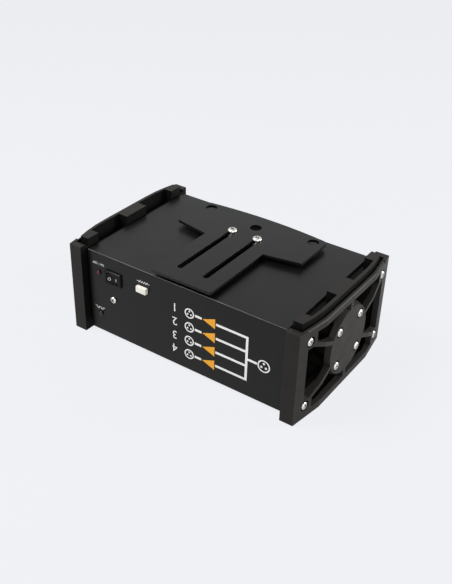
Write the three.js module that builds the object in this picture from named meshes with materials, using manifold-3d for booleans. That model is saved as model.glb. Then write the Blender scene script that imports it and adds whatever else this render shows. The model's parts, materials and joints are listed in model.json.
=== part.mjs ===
// Lighting-signal splitter: a sheet-steel box between two moulded end caps, with a sliding hanging bracket.
// Millimetres. X runs along the box, Y from the control wall to the socket wall, Z up.
// The origin lies on the floor under the middle of the box, which stands on the feet of its caps.

import * as THREE from 'three';
import { mergeVertices } from 'three/addons/utils/BufferGeometryUtils.js';
import Module from 'manifold-3d';

const wasm = await Module();
wasm.setup();

// Sizes

const overrun = 2;
const seatGap = 0.3;
const fitGap = 0.3;

// Folded shell
const shellDepth = 155;
const shellHeight = 90;
const shellLift = 4;
const sheet = 1.2;
const bendRadius = 1.8;
const standoffRadius = 3;
const standoffHeight = 8;

// End caps
const capDepth = 14;
const capBulge = 5.6;
const capSlopeRun = 37.5;
const capProud = 7;
const capOver = 3.4;
const shadowGap = 3;
const spigotDepth = 3;
const neckInset = 4;
const ringWall = 2.5;
const shoulderRadius = 3.2;
const webThick = 3;
const latticeThick = 5.2;
const discRadius = 34.2;
const spokeWidth = 4.1;
const ribWidth = 4.2;
const rimEnd = 12.8;
const rimEdge = 7.1;
const bossWidth = 12.1;
const bossHeight = 13.6;
const cornerPostRadius = 6.6;
const discPostRadius = 6;
const cavityWall = 3.9;
const cavityEndWall = 8.5;
const cornerInsetY = 8.9;
const cornerInsetZ = 9.9;
const discPitchY = 39.6;
const discPitchZ = 37.4;
const cornerSink = 2.1;
const discSink = 1.4;
const pocketRadius = 5.5;

// Castellated top rail of a cap
const railHeight = 8.5;
const railEndInset = 4.3;
const railSetback = 5.5;
const railWall = 3.4;
const blockMiddle = 30.8;
const blockEnd = 14.8;
const pocketDrop = 3.5;
const tubDrop = 10;
const tubWall = 1.6;
const pocketTaper = 1.3;
const pocketBendShare = 0.66;
const railCurveShares = [[0.5, 0.34], [0.42, 0.17], [0.33, 0.05], [0.22, 0.01]];

// Cap screws
const capScrewRadius = 2;
const capHeadRadius = 4.1;
const capHeadHeight = 2.6;
const screwPast = 3;
const panHeadShares = [[1, 0], [1, 0.45], [0.72, 0.88], [0, 1]];

// Inner tray
const trayLip = 8;
const trayWallInset = 2.3;

// Hanging bracket
const bracketThick = 3;
const bracketStem = 68;
const bracketSpan = 145.2;
const bracketFront = 0.9;
const bracketInner = 85.8;
const bracketTip = 92.7;
const bracketSide = 47.2;
const bracketCut = 4;
const bracketBow = 4.6;
const bracketCorner = 1.8;
const bracketHoleRadius = 6.1;
const sideHolePitch = 122.2;
const sideHoleBack = 9.2;
const middleHoleBack = 22.6;
const slotPitch = 29.4;
const slotWidth = 6;
const slotStart = 16.9;
const slotLength = 91.7;
const spacerHeight = 3.3;
const spacerRadius = 5;
const clampRadius = 2.5;
const clampHeadRadius = 4.75;
const clampHeadHeight = 3.1;
const clampPast = 1;
const clinchRadius = 4.8;
const clinchHeight = 4;

// Rocker switch
const switchInset = 31.6;
const switchDrop = 22.2;
const bezelWidth = 21;
const bezelHeight = 15;
const bezelThick = 2;
const bezelBevel = 0.9;
const bezelCorner = 1.6;
const switchBodyWidth = 18.6;
const switchBodyHeight = 12.8;
const switchBodyDepth = 15;
const rockerWidth = 14.2;
const rockerHeight = 9.8;
const rockerPivot = 3;
const rockerFace = 3.1;
const rockerValley = 2.2;
const rockerBack = 2.6;
const rockerHeel = 4.2;
const rockerTilt = 12;
const trunnionRadius = 1.1;
const trunnionLength = 0.8;

// Push button
const buttonInset = 67.7;
const buttonDrop = 20.6;
const buttonWidth = 12.2;
const buttonHeight = 6.6;
const buttonOut = 3;
const buttonIn = 7;
const buttonBevel = 0.5;
const buttonCorner = 0.9;
const buttonWall = 1.6;
const buttonTravel = 2;

// Indicator lamps
const lampInset = 13;
const powerLampDrop = 21.5;
const signalLampRise = 20.8;
const lampRadius = 2.5;
const lampFlangeRadius = 2.95;
const lampFlangeThick = 1;
const lampStraight = 0.9;
const lampDome = 1.5;
const lampDomeShares = [[0, 1], [0.5, 0.88], [0.85, 0.55], [1, 0]];

// Regulator angle and its screw
const panelScrewInset = 31;
const panelScrewDrop = 46.6;
const panelScrewRadius = 1.75;
const panelHeadRadius = 3.5;
const panelHeadHeight = 2.4;
const panelScrewPast = 2;
const angleLength = 24;
const angleLeg = 18;
const angleShelf = 16;
const angleThick = 2;
const nutAcross = 6;
const nutHeight = 2.8;

// Sockets on the back wall
const socketCount = 6;
const socketWidth = 26;
const socketEarHeight = 2.5;
const socketGap = 2;
const socketEndMargin = 12;
const flangeThick = 2;
const flangeCorner = 3;
const barrelMargin = 1.4;
const barrelDepth = 14;
const barrelWall = 2;
const plugRing = 2.3;
const inputRing = 1.6;
const insertSink = 0.6;
const insertBase = 3;
const contactCircleShare = 0.56;
const contactAngles = [20, 160, 270];
const contactRadius = 1.2;
const contactBore = 1.3;
const contactBoreDepth = 6;
const contactLength = 11;
const latchWidth = 9;
const latchTall = 3.6;
const latchThick = 1.8;
const latchTravel = 0.9;
const latchMargin = 0.9;
const latchCorner = 0.8;

// Power inlet
const inletEndMargin = 7.5;
const inletSocketGap = 9.5;
const inletWidth = 31;
const inletTall = 45;
const inletFlange = 2.4;
const inletBodyWidth = 27.4;
const inletBodyTall = 40;
const inletBodyDepth = 22;
const wellWidth = 24.2;
const wellTall = 16.6;
const wellDepth = 16;
const wellCut = 4.6;
const wellDown = 7.5;
const pinWidth = 2;
const pinTall = 4;
const pinLength = 14;
const pinPitch = 14;
const pinRise = 4;
const drawerWidth = 22;
const drawerTall = 8;
const drawerDepth = 18;
const drawerUp = 11.5;
const drawerFace = 1;

// Boards and transformer
const boardThick = 1.6;
const mainBoardLength = 120;
const mainBoardDepth = 78;
const mainBoardEnd = 33;
const mainBoardY = -18;
const standoffInset = 6;
const socketBoardMargin = 2;
const socketBoardTall = 46;
const coreLength = 52;
const coreDepth = 26;
const coreTall = 36;
const coilLength = 34;
const coilDepth = 42;
const coilTall = 22;
const transformerBack = 28;

// Sizes that follow

const socketPitch = socketWidth + socketGap;
const socketRow = socketCount * socketPitch - socketGap;
const shellLength = inletEndMargin + inletWidth + inletSocketGap + socketRow + socketEndMargin;
const shellTop = shellLift + shellHeight;
const shellMiddle = shellLift + shellHeight / 2;
const frontWall = -shellDepth / 2;
const backWall = shellDepth / 2;
const capHalf = shellDepth / 2 + capProud;
const capTop = shellTop + capOver;
const capFace = shellLength / 2 + shadowGap;
const screwBore = capScrewRadius + fitGap;
const spigotEnd = shadowGap + spigotDepth;
const capOuter = capDepth + capBulge;
const capFlatHalf = capHalf - capSlopeRun;
const cornerPitchY = shellDepth - 2 * cornerInsetY;
const cornerPitchZ = shellHeight - 2 * cornerInsetZ;
const railLength = shellDepth - 2 * railEndInset;
const plateUnder = shellTop + spacerHeight + 2 * seatGap;
const plateTop = plateUnder + bracketThick;
const plateFront = frontWall - bracketFront;
const plateSideEnd = plateFront + bracketTip + bracketSide;
const plateBack = plateSideEnd + bracketCut + bracketBow;
const slotEnd = plateFront + slotStart + slotLength;
const clampY = slotEnd - slotWidth / 2 - seatGap;
const bezelBack = frontWall - seatGap;
const rockerY = bezelBack - bezelThick + rockerPivot;
const leftEnd = -shellLength / 2;
const rightEnd = shellLength / 2;
const switchX = leftEnd + switchInset;
const buttonX = leftEnd + buttonInset;
const lampX = leftEnd + lampInset;
const panelScrewX = leftEnd + panelScrewInset;
const inletX = leftEnd + inletEndMargin + inletWidth / 2;
const socketFirstX = inletX + inletWidth / 2 + inletSocketGap + socketWidth / 2;
const socketTall = socketWidth + 2 * socketEarHeight;
const barrelRadius = socketWidth / 2 - barrelMargin;
const outputBoreRadius = barrelRadius - barrelWall;
const inputBoreRadius = outputBoreRadius - inputRing;
const insertRadius = outputBoreRadius - plugRing;
const contactCircle = contactCircleShare * insertRadius;
const mainBoardX = rightEnd - mainBoardEnd - mainBoardLength / 2;
const transformerX = mainBoardX - transformerBack;

// Solids

// A closed solid from a geometry, with its shared corners merged.
function solid(geometry) {
  const bare = geometry.clone();
  bare.deleteAttribute('normal');
  bare.deleteAttribute('uv');
  const merged = mergeVertices(bare, 1e-5);
  return new wasm.Manifold(new wasm.Mesh({
    numProp: 3,
    vertProperties: new Float32Array(merged.attributes.position.array),
    triVerts: new Uint32Array(merged.index.array),
  }));
}

// The geometry of a solid, with flat faces.
function geometryOf(body) {
  const raw = body.getMesh();
  const geometry = new THREE.BufferGeometry();
  geometry.setAttribute('position', new THREE.BufferAttribute(new Float32Array(raw.vertProperties), 3));
  geometry.setIndex(new THREE.BufferAttribute(new Uint32Array(raw.triVerts), 1));
  return geometry;
}

function box(width, depth, height, x = 0, y = 0, z = 0) {
  return new THREE.BoxGeometry(width, depth, height).translate(x, y, z);
}

function outline(points) {
  return new THREE.Shape(points.map(([u, v]) => new THREE.Vector2(u, v)));
}

// Points along an arc, both ends included.
function arc(u, v, radius, fromDegrees, toDegrees, steps) {
  const points = [];
  for (let i = 0; i <= steps; i += 1) {
    const angle = THREE.MathUtils.degToRad(fromDegrees + (toDegrees - fromDegrees) * i / steps);
    points.push([u + radius * Math.cos(angle), v + radius * Math.sin(angle)]);
  }
  return points;
}

function circle(u, v, radius, steps) {
  return arc(u, v, radius, 0, 360, steps).slice(1);
}

function extrude(shape, depth) {
  return new THREE.ExtrudeGeometry(shape, { depth, bevelEnabled: false });
}

// A section drawn in Y and Z, carried along +X from x.
function alongX(shape, x, length) {
  const basis = new THREE.Matrix4().makeBasis(
    new THREE.Vector3(0, 1, 0),
    new THREE.Vector3(0, 0, 1),
    new THREE.Vector3(1, 0, 0),
  );
  return extrude(shape, length).applyMatrix4(basis).translate(x, 0, 0);
}

// A section drawn in X and Z, carried from y towards the control wall.
function alongY(shape, y, length) {
  return extrude(shape, length).rotateX(Math.PI / 2).translate(0, y, 0);
}

// A round bar along an axis, from a start point.
function rodX(radius, x, y, z, length, sides = 16) {
  return new THREE.CylinderGeometry(radius, radius, length, sides)
    .rotateZ(Math.PI / 2)
    .translate(x + length / 2, y, z);
}

function rodY(radius, x, y, z, length, sides = 16) {
  return new THREE.CylinderGeometry(radius, radius, length, sides).translate(x, y + length / 2, z);
}

function rodZ(radius, x, y, z, length, sides = 16) {
  return new THREE.CylinderGeometry(radius, radius, length, sides)
    .rotateX(Math.PI / 2)
    .translate(x, y, z + length / 2);
}

// A profile of radius and height turned round the Y axis.
function revolve(profile, sides) {
  return new THREE.LatheGeometry(profile.map(([r, h]) => new THREE.Vector2(r, h)), sides);
}

// A rectangle with round corners.
function roundedRectangle(width, height, radius, steps = 3) {
  const u = width / 2 - radius;
  const v = height / 2 - radius;
  return outline([
    ...arc(u, -v, radius, -90, 0, steps),
    ...arc(u, v, radius, 0, 90, steps),
    ...arc(-u, v, radius, 90, 180, steps),
    ...arc(-u, -v, radius, 180, 270, steps),
  ]);
}

// The four places of a rectangle's corners.
function cornersOf(pitchY, pitchZ) {
  const places = [];
  for (const up of [1, -1]) {
    for (const side of [-1, 1]) {
      places.push([side * pitchY / 2, up * pitchZ / 2]);
    }
  }
  return places;
}

// A pan-head screw standing on its seat: head above zero, shank below.
function panScrew(headRadius, headHeight, shankRadius, shankLength) {
  const head = panHeadShares.map(([across, up]) => [across * headRadius, up * headHeight]);
  const profile = [[0, -shankLength], [shankRadius, -shankLength], [shankRadius, 0], ...head];
  return revolve(profile, 12).rotateX(Math.PI / 2);
}

// Materials

function finish(hex, roughness, metalness) {
  return new THREE.MeshStandardMaterial({ color: hex, roughness, metalness });
}

const powderBlack = finish(0x2c2c2b, 0.55, 0);
const mouldedBlack = finish(0x34332f, 0.5, 0);
const brightSteel = finish(0xb9b8b2, 0.3, 1);
const zincSteel = finish(0x9a9b98, 0.45, 1);
const glossBlack = finish(0x17181a, 0.3, 0);
const creamPlastic = finish(0xe8e5d4, 0.45, 0);
const redLens = finish(0x8c1a16, 0.2, 0);
const smokedLens = finish(0x3b3a36, 0.2, 0);
const plainAluminium = finish(0xb4b6b8, 0.4, 1);
const boardGreen = finish(0x1f5a34, 0.5, 0);
const coreGrey = finish(0x55575a, 0.5, 0.4);
const nickel = finish(0xa9a8a2, 0.35, 1);

const group = new THREE.Group();

function add(name, geometry, material, parent = group) {
  const mesh = new THREE.Mesh(geometry, material);
  mesh.name = name;
  parent.add(mesh);
  return mesh;
}

// Places on the walls

const socketPlaces = [];
for (let i = 0; i < socketCount; i += 1) {
  socketPlaces.push(socketFirstX + i * socketPitch);
}
const socketNames = ['in', 'link', 'out_1', 'out_2', 'out_3', 'out_4'];

const lampHeights = [shellTop - powerLampDrop, shellLift + signalLampRise];
const switchZ = shellTop - switchDrop;
const buttonZ = shellTop - buttonDrop;
const panelScrewZ = shellTop - panelScrewDrop;

const standoffPlaces = [];
for (const alongBoard of [-1, 1]) {
  for (const acrossBoard of [-1, 1]) {
    standoffPlaces.push([
      mainBoardX + alongBoard * (mainBoardLength / 2 - standoffInset),
      mainBoardY + acrossBoard * (mainBoardDepth / 2 - standoffInset),
    ]);
  }
}

// Folded shell

// One sheet folded into the control wall, the top and the socket wall, seen along X.
function shellSection() {
  const outer = bendRadius;
  const inner = bendRadius - sheet;
  const bendZ = shellTop - outer;
  return outline([
    [frontWall, shellLift],
    [frontWall + sheet, shellLift],
    ...arc(frontWall + outer, bendZ, inner, 180, 90, 4),
    ...arc(backWall - outer, bendZ, inner, 90, 0, 4),
    [backWall - sheet, shellLift],
    [backWall, shellLift],
    ...arc(backWall - outer, bendZ, outer, 0, 90, 4),
    ...arc(frontWall + outer, bendZ, outer, 90, 180, 4),
  ]);
}

function makeShell() {
  let shell = solid(alongX(shellSection(), -shellLength / 2, shellLength));
  for (const [x, y] of standoffPlaces) {
    const root = shellTop - sheet / 2;
    const length = standoffHeight + sheet / 2;
    shell = shell.add(solid(rodZ(standoffRadius, x, y, root - length, length, 10)));
  }
  const through = sheet + 2 * overrun;
  const frontCut = frontWall - overrun;
  const backCut = backWall + overrun - through;
  const cutters = [
    box(switchBodyWidth + 2 * fitGap, through, switchBodyHeight + 2 * fitGap, switchX, frontWall, switchZ),
    box(buttonWidth + 2 * fitGap, through, buttonHeight + 2 * fitGap, buttonX, frontWall, buttonZ),
    rodY(panelScrewRadius + seatGap, panelScrewX, frontCut, panelScrewZ, through),
    box(inletBodyWidth + 2 * fitGap, through, inletBodyTall + 2 * fitGap, inletX, backWall, shellMiddle),
  ];
  for (const z of lampHeights) {
    cutters.push(rodY(lampRadius + seatGap, lampX, frontCut, z, through));
  }
  for (const x of socketPlaces) {
    cutters.push(rodY(barrelRadius + fitGap, x, backCut, shellMiddle, through, 24));
  }
  for (const side of [-1, 1]) {
    const x = side * slotPitch / 2;
    cutters.push(rodZ(clampRadius + seatGap, x, clampY, shellTop - sheet - overrun, through));
  }
  for (const cutter of cutters) {
    shell = shell.subtract(solid(cutter));
  }
  return geometryOf(shell);
}

add('chassis_shell', makeShell(), powderBlack);

// Inner tray

// Closing plate with two end walls that take the cap screws and two low lips.
function makeTray() {
  const endFace = capFace - spigotEnd - seatGap;
  const half = shellDepth / 2 - sheet - seatGap;
  const wallHalf = half - trayWallInset;
  const wallTop = shellTop - sheet - trayWallInset;
  const wallHeight = wallTop - shellLift;
  const middle = shellLift + sheet / 2;
  let tray = solid(box(2 * endFace, 2 * half, sheet, 0, 0, middle));
  for (const side of [-1, 1]) {
    const x = side * (endFace - sheet / 2);
    tray = tray.add(solid(box(sheet, 2 * wallHalf, wallHeight, x, 0, shellLift + wallHeight / 2)));
    const y = side * (half - sheet / 2);
    tray = tray.add(solid(box(2 * endFace, sheet, trayLip, 0, y, shellLift + trayLip / 2)));
  }
  const places = [...cornersOf(cornerPitchY, cornerPitchZ), ...cornersOf(discPitchY, discPitchZ)];
  for (const side of [-1, 1]) {
    for (const [y, z] of places) {
      const start = side * (endFace - sheet / 2) - sheet;
      tray = tray.subtract(solid(rodX(screwBore, start, y, shellMiddle + z, 2 * sheet, 8)));
    }
  }
  return geometryOf(tray);
}

add('base_tray', makeTray(), powderBlack);

// End caps
// A cap is drawn with its inner face at x = 0 and its outside towards +X.

// How far the outside stands from the inner face, along the cap's length.
function capReach(y) {
  const rise = (capHalf - Math.abs(y)) / capSlopeRun;
  return capDepth + Math.min(1, rise) * capBulge;
}

// The cap's plan, drawn from x = inner out to its bulged outside less an offset.
function capPlan(inner, half, offset) {
  const stations = [-half, -capFlatHalf, capFlatHalf, half];
  const points = stations.map((y) => [capReach(y) - offset, y]);
  return outline([[inner, -half], ...points, [inner, half]]);
}

// The rail's plan: straight inside, its outside curving in towards both ends.
function railPlan() {
  const reach = capOuter - railSetback;
  const half = railCurveShares.map(([along, back]) => [reach * (1 - back), along * railLength]);
  const otherHalf = half.map(([x, y]) => [x, -y]);
  return outline([[0, -railLength / 2], ...otherHalf, ...half.reverse(), [0, railLength / 2]]);
}

// The pocket between two blocks on one side of the middle, its outside following the rail's wall.
// It is drawn from x = inner, and widened by a margin.
function pocketPlan(side, inner, margin) {
  const start = blockMiddle / 2 - margin;
  const end = railLength / 2 - blockEnd + margin;
  const reach = capOuter - railSetback - railWall + margin;
  const points = [
    [inner, start],
    [reach, start],
    [reach, start + pocketBendShare * (end - start)],
    [reach - pocketTaper, end],
    [inner, end],
  ];
  return outline(points.map(([x, y]) => [x, side * y]));
}

// What stays between the openings of the lattice: disc, spokes, short ribs and corner bosses.
function makeWebs(start, length) {
  const windowY = capHalf - rimEnd;
  const windowZ = shellHeight / 2 + shellLift - rimEdge;
  const middle = start + length / 2;
  let webs = solid(rodX(discRadius, start, 0, shellMiddle, length, 40));
  webs = webs.add(solid(box(length, ribWidth, 2 * windowZ + overrun, middle, 0, shellMiddle)));
  for (const [y, z] of cornersOf(cornerPitchY, cornerPitchZ)) {
    const reach = Math.hypot(y, z);
    const dropY = Math.sign(y) * Math.abs(z) / reach * spokeWidth;
    const dropZ = -Math.sign(z) * Math.abs(y) / reach * spokeWidth;
    const spoke = outline([
      [0, shellMiddle],
      [y, shellMiddle + z],
      [y + dropY, shellMiddle + z + dropZ],
      [dropY, shellMiddle + dropZ],
    ]);
    webs = webs.add(solid(alongX(spoke, start, length)));
    const bossY = Math.sign(y) * (windowY - bossWidth / 2 + overrun / 2);
    const bossZ = shellMiddle + Math.sign(z) * (windowZ - bossHeight / 2 + overrun / 2);
    webs = webs.add(solid(box(length, bossWidth + overrun, bossHeight + overrun, middle, bossY, bossZ)));
  }
  return webs;
}

// The bulged body: sharp columns at both ends, and a rounded shoulder between them.
function makeCapBody() {
  const plan = capPlan(0, capHalf, 0);
  const strip = solid(box(4 * capOuter, railLength, 2 * shoulderRadius, 2 * capOuter, 0, capTop));
  const rounded = new THREE.ExtrudeGeometry(capPlan(-2 * shoulderRadius, capHalf, 0), {
    depth: capTop - 2 * shoulderRadius,
    bevelThickness: shoulderRadius,
    bevelSize: shoulderRadius,
    bevelOffset: -shoulderRadius,
    bevelSegments: 4,
  }).translate(0, 0, shoulderRadius);
  return solid(extrude(plan, capTop)).subtract(strip).add(solid(rounded).intersect(strip));
}

function addRail(cap) {
  return cap.add(solid(extrude(railPlan(), railHeight).translate(0, 0, shellTop)));
}

// Each pocket of the rail goes down into a tub, which hangs from the cap's roof behind the lattice.
function addTubs(cap) {
  const tubTop = capTop - cavityWall / 2;
  const tubFoot = shellTop - tubDrop;
  const railTop = shellTop + railHeight + overrun;
  let tubbed = cap;
  for (const side of [-1, 1]) {
    const tub = extrude(pocketPlan(side, webThick / 2, tubWall), tubTop - tubFoot + tubWall);
    const shallow = extrude(pocketPlan(side, -overrun, 0), railTop - shellTop + pocketDrop);
    const deep = extrude(pocketPlan(side, webThick, 0), railTop - tubFoot);
    tubbed = tubbed.add(solid(tub.translate(0, 0, tubFoot - tubWall)));
    tubbed = tubbed.subtract(solid(shallow.translate(0, 0, shellTop - pocketDrop)));
    tubbed = tubbed.subtract(solid(deep.translate(0, 0, tubFoot)));
  }
  return tubbed;
}

// Hollow behind the lattice, the neck and spigot that enter the box, and the way through them.
function hollowCap(cap) {
  const cavityPlan = capPlan(webThick, capHalf - cavityEndWall, latticeThick);
  const cavity = extrude(cavityPlan, capTop - 2 * cavityWall).translate(0, 0, cavityWall);
  const root = webThick / 2;
  const neckY = shellDepth / 2 - neckInset;
  const neckZ = shellHeight / 2 - neckInset;
  const spigotY = shellDepth / 2 - sheet - fitGap;
  const spigotZ = shellHeight / 2 - sheet - fitGap;
  const neck = box(shadowGap + root, 2 * neckY, 2 * neckZ, (root - shadowGap) / 2, 0, shellMiddle);
  const spigot = box(spigotDepth, 2 * spigotY, 2 * spigotZ, spigotDepth / 2 - spigotEnd, 0, shellMiddle);
  const wayY = neckY - ringWall;
  const wayZ = neckZ - ringWall;
  const wayLength = spigotEnd + webThick + 2 * overrun;
  const way = box(wayLength, 2 * wayY, 2 * wayZ, (webThick - spigotEnd) / 2, 0, shellMiddle);
  return cap.subtract(solid(cavity)).add(solid(neck)).add(solid(spigot)).subtract(solid(way));
}

function cutWindows(cap) {
  const windowY = capHalf - rimEnd;
  const windowZ = shellHeight / 2 + shellLift - rimEdge;
  const length = capOuter + overrun - webThick;
  const whole = solid(box(length, 2 * windowY, 2 * windowZ, webThick + length / 2, 0, shellMiddle));
  return cap.subtract(whole.subtract(makeWebs(webThick - overrun, length + 2 * overrun)));
}

const screwRows = [
  { kind: 'corner', pitchY: cornerPitchY, pitchZ: cornerPitchZ, sink: cornerSink, post: cornerPostRadius },
  { kind: 'disc', pitchY: discPitchY, pitchZ: discPitchZ, sink: discSink, post: discPostRadius },
];

// Posts that carry the screws through to the tray, with a pocket for each head.
function addPosts(cap) {
  let posted = cap;
  for (const { pitchY, pitchZ, post } of screwRows) {
    for (const [y, z] of cornersOf(pitchY, pitchZ)) {
      const length = spigotEnd + capReach(y) - latticeThick / 2;
      posted = posted.add(solid(rodX(post, -spigotEnd, y, shellMiddle + z, length)));
    }
  }
  for (const { pitchY, pitchZ, sink } of screwRows) {
    for (const [y, z] of cornersOf(pitchY, pitchZ)) {
      const floor = capReach(y) - sink;
      const height = shellMiddle + z;
      posted = posted.subtract(solid(rodX(pocketRadius, floor, y, height, sink + 2 * overrun, 16)));
      const boreLength = spigotEnd + floor + 2 * overrun;
      posted = posted.subtract(solid(rodX(screwBore, -spigotEnd - overrun, y, height, boreLength, 8)));
    }
  }
  return posted;
}

function makeCap() {
  return geometryOf(addPosts(addTubs(cutWindows(hollowCap(addRail(makeCapBody()))))));
}

function addCap(side, turn) {
  const capGroup = new THREE.Group();
  capGroup.position.set(Math.cos(turn) * capFace, 0, 0);
  capGroup.rotation.z = turn;
  group.add(capGroup);
  add(`end_cap_${side}`, makeCap(), mouldedBlack, capGroup);
  for (const { kind, pitchY, pitchZ, sink } of screwRows) {
    cornersOf(pitchY, pitchZ).forEach(([y, z], index) => {
      const seat = capReach(y) - sink + seatGap;
      const shank = seat + spigotEnd + seatGap + sheet + screwPast;
      const screw = panScrew(capHeadRadius, capHeadHeight, capScrewRadius, shank).rotateY(Math.PI / 2);
      const mesh = add(`${kind}_screw_${side}_${index + 1}`, screw, brightSteel, capGroup);
      mesh.position.set(seat, y, shellMiddle + z);
    });
  }
}

addCap('right', 0);
addCap('left', Math.PI);

// Hanging bracket

// T-shaped plate: a stem with two slots, and a cross arm whose back edge bows outwards.
function bracketOutline() {
  const stem = bracketStem / 2;
  const arm = bracketSpan / 2;
  const inner = plateFront + bracketInner;
  const tip = plateFront + bracketTip;
  const backEnd = plateSideEnd + bracketCut;
  const bow = new THREE.QuadraticBezierCurve(
    new THREE.Vector2(arm - bracketCut, backEnd),
    new THREE.Vector2(0, backEnd + 2 * bracketBow),
    new THREE.Vector2(bracketCut - arm, backEnd),
  );
  return outline([
    ...arc(bracketCorner - stem, plateFront + bracketCorner, bracketCorner, 180, 270, 4),
    ...arc(stem - bracketCorner, plateFront + bracketCorner, bracketCorner, 270, 360, 4),
    [stem, inner],
    [arm, tip],
    [arm, plateSideEnd],
    ...bow.getPoints(10).map((point) => [point.x, point.y]),
    [-arm, plateSideEnd],
    [-arm, tip],
    [-stem, inner],
  ]);
}

function slotOutline(x) {
  const radius = slotWidth / 2;
  const start = plateFront + slotStart + radius;
  return [...arc(x, slotEnd - radius, radius, 0, 180, 8), ...arc(x, start, radius, 180, 360, 8)];
}

function makeBracket() {
  const plate = bracketOutline();
  const cuts = [circle(0, plateBack - middleHoleBack, bracketHoleRadius, 24)];
  for (const side of [-1, 1]) {
    cuts.push(slotOutline(side * slotPitch / 2));
    const sideHoleY = plateSideEnd + bracketCut - sideHoleBack;
    cuts.push(circle(side * sideHolePitch / 2, sideHoleY, bracketHoleRadius, 24));
  }
  plate.holes = cuts.map((points) => new THREE.Path(points.map(([u, v]) => new THREE.Vector2(u, v))));
  return extrude(plate, bracketThick).translate(0, 0, plateUnder);
}

add('mount_bracket', makeBracket(), powderBlack);

function makeCollar(outer, inner, height) {
  const profile = [[inner, 0], [outer, 0], [outer, height], [inner, height], [inner, 0]];
  return revolve(profile, 16).rotateX(Math.PI / 2);
}

for (const [side, name] of [[-1, 'left'], [1, 'right']]) {
  const x = side * slotPitch / 2;
  const bore = clampRadius + seatGap;
  const spacer = add(`bracket_spacer_${name}`, makeCollar(spacerRadius, bore, spacerHeight), zincSteel);
  spacer.position.set(x, clampY, shellTop + seatGap);
  const clinch = add(`bracket_nut_${name}`, makeCollar(clinchRadius, bore, clinchHeight), zincSteel);
  clinch.position.set(x, clampY, shellTop - sheet - seatGap - clinchHeight);
  const seat = plateTop + seatGap;
  const shank = seat - shellTop + sheet + clinchHeight + clampPast;
  const screw = panScrew(clampHeadRadius, clampHeadHeight, clampRadius, shank);
  add(`bracket_screw_${name}`, screw, brightSteel).position.set(x, clampY, seat);
}

// Rocker switch

function makeSwitchHousing() {
  const bevelled = new THREE.ExtrudeGeometry(roundedRectangle(bezelWidth, bezelHeight, bezelCorner), {
    depth: bezelThick,
    bevelThickness: bezelBevel,
    bevelSize: bezelBevel,
    bevelOffset: -bezelBevel,
    bevelSegments: 1,
  }).rotateX(Math.PI / 2).translate(switchX, bezelBack + bezelBevel, switchZ);
  const behind = box(2 * bezelWidth, 2 * overrun, 2 * bezelHeight, switchX, bezelBack + overrun, switchZ);
  const bodyDepth = switchBodyDepth + bezelThick / 2;
  const bodyY = bezelBack - bezelThick / 2 + bodyDepth / 2;
  let housing = solid(bevelled).subtract(solid(behind));
  housing = housing.add(solid(box(switchBodyWidth, bodyDepth, switchBodyHeight, switchX, bodyY, switchZ)));
  const wellDeep = rockerPivot + rockerWidth / 2 + fitGap;
  const wellWide = rockerWidth + 2 * fitGap;
  const wellTop = rockerHeight + 2 * fitGap;
  const well = box(wellWide, 2 * wellDeep, wellTop, switchX, bezelBack - bezelThick, switchZ);
  const bearing = 2 * (rockerHeight / 2 + trunnionLength + fitGap);
  const bore = rodZ(trunnionRadius + fitGap, switchX, rockerY, switchZ - bearing / 2, bearing, 12);
  return geometryOf(housing.subtract(solid(well)).subtract(solid(bore)));
}

// The rocker is drawn about its pivot, with a shallow valley across its face.
function makeRocker() {
  const half = rockerWidth / 2;
  const tip = Math.sqrt(half * half - rockerFace * rockerFace);
  const section = outline([
    [-tip, -rockerFace],
    [0, -rockerValley],
    [tip, -rockerFace],
    [half, 0],
    [rockerHeel, rockerBack],
    [-rockerHeel, rockerBack],
    [-half, 0],
  ]);
  const blade = solid(extrude(section, rockerHeight).translate(0, 0, -rockerHeight / 2));
  const reach = rockerHeight + 2 * trunnionLength;
  return geometryOf(blade.add(solid(rodZ(trunnionRadius, 0, 0, -reach / 2, reach, 12))));
}

add('switch_housing', makeSwitchHousing(), glossBlack);
const rocker = add('switch_rocker', makeRocker(), glossBlack);
rocker.position.set(switchX, rockerY, switchZ);
rocker.rotation.z = THREE.MathUtils.degToRad(rockerTilt);

// Push button

function makeButton() {
  const depth = buttonOut + sheet + buttonIn;
  const bevelled = new THREE.ExtrudeGeometry(roundedRectangle(buttonWidth, buttonHeight, buttonCorner), {
    depth,
    bevelThickness: buttonBevel,
    bevelSize: buttonBevel,
    bevelOffset: -buttonBevel,
    bevelSegments: 2,
  }).rotateX(Math.PI / 2).translate(0, depth + buttonBevel, 0);
  const block = box(buttonWidth, depth, buttonHeight, 0, depth / 2, 0);
  return geometryOf(solid(bevelled).intersect(solid(block)));
}

function makeButtonHousing() {
  const inner = frontWall + sheet + seatGap;
  const depth = buttonIn + buttonTravel + fitGap + buttonWall;
  const wellWide = buttonWidth + 2 * fitGap;
  const wellTop = buttonHeight + 2 * fitGap;
  const width = wellWide + 2 * buttonWall;
  const height = wellTop + 2 * buttonWall;
  const body = solid(box(width, depth, height, buttonX, inner + depth / 2, buttonZ));
  const wellDeep = depth - buttonWall;
  const well = box(wellWide, 2 * wellDeep, wellTop, buttonX, inner, buttonZ);
  return geometryOf(body.subtract(solid(well)));
}

add('button_housing', makeButtonHousing(), glossBlack);
add('link_button', makeButton(), creamPlastic).position.set(buttonX, frontWall - buttonOut, buttonZ);

// Indicator lamps

function makeLamp() {
  const neck = sheet + seatGap;
  const dome = lampDomeShares.map(([across, out]) => [across * lampRadius, -lampStraight - out * lampDome]);
  const flange = [[lampRadius, neck], [lampFlangeRadius, neck]];
  const back = neck + lampFlangeThick;
  return revolve([...dome, ...flange, [lampFlangeRadius, back], [0, back]], 12);
}

add('power_lamp', makeLamp(), redLens).position.set(lampX, frontWall, lampHeights[0]);
add('signal_lamp', makeLamp(), smokedLens).position.set(lampX, frontWall, lampHeights[1]);

// Regulator angle and its screw

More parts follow.
